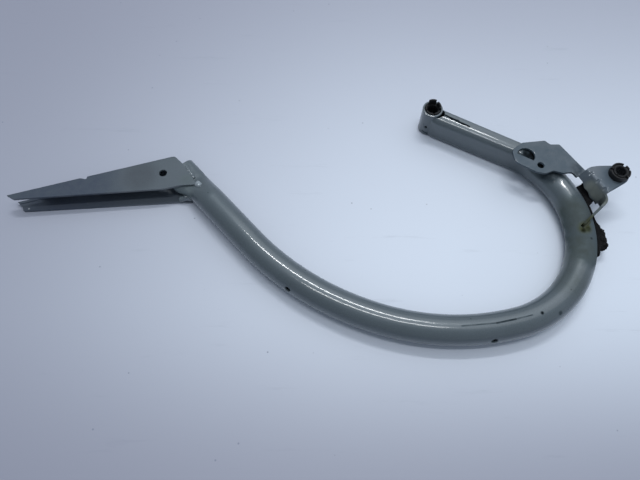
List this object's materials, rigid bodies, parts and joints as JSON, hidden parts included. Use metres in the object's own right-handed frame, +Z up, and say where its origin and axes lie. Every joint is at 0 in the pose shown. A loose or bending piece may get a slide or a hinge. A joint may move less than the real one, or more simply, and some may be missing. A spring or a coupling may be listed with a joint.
{
  "type": "vehicle trunk lid hinge arm",
  "caption": "Gooseneck tube arm with a lid channel, a pressed pivot arm with its bushed eye and a welded link bracket, for a vehicle's trunk lid.",
  "frame": {"origin": "middle of the part's footprint, at the level of the bench it lies on", "axes": "+X from the lid channel to the link lug, +Y from the big bend towards the pivot eye, +Z up along both pivot axes"},
  "size_m": [0.5456, 0.2312, 0.0415],
  "materials": {
    "grey_green_paint": "satin grey-green electrocoat on formed steel",
    "painted_sleeve": "satin grey-green electrocoat on turned steel",
    "painted_weld": "rippled weld bead under the same coat",
    "black_plastic": "moulded black nylon",
    "black_foam": "torn open-cell foam"
  },
  "bodies": {
    "arm": {"gooseneck_tube": "grey_green_paint", "pivot_sleeve": "painted_sleeve", "lid_channel": "grey_green_paint", "hinge_bracket": "grey_green_paint", "foam_strip": "black_foam", "flange_weld_edge": "painted_weld", "flange_weld_corner": "painted_weld", "flange_weld_lower": "painted_weld", "foot_weld": "painted_weld"},
    "pivot_bush": {"pivot_bush": "black_plastic"},
    "link_bush": {"link_bush": "black_plastic"}
  },
  "joints": [
    {"name": "pivot_bush_turn", "type": "hinge", "parent": "arm", "child": "pivot_bush", "pos_m": [0.11177, 0.10613, 0.0143], "axis": [0, 0, 1], "continuous": true},
    {"name": "link_bush_turn", "type": "hinge", "parent": "arm", "child": "link_bush", "pos_m": [0.2635, 0.02832, 0.0345], "axis": [0, 0, 1], "continuous": true}
  ]
}
